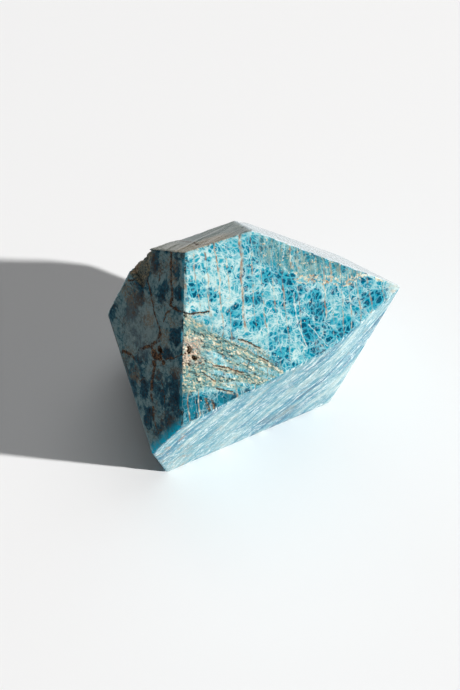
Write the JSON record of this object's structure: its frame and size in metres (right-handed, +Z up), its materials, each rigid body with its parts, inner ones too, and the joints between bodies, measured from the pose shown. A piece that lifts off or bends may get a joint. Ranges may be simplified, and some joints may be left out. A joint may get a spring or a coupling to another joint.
{
  "type": "faceted apatite stone",
  "caption": "Free-form polished apatite stone with flat facets, a sharp leaning tip, a small flat base, one rough natural side and worn crumbly veins.",
  "frame": {"origin": "on the table, under the middle of the stone's bounding box", "axes": "+Z up from the flat base, +X towards the side where the sharp tip leans out, -Y towards the large bright front facet"},
  "size_m": [0.0788, 0.0825, 0.09],
  "materials": {
    "apatite": "polished blue-green stone with pale webbing, rust-brown veins and a tan crumbly patch, one side left rough"
  },
  "bodies": {
    "root": {"apatite_point": "apatite"}
  },
  "joints": []
}
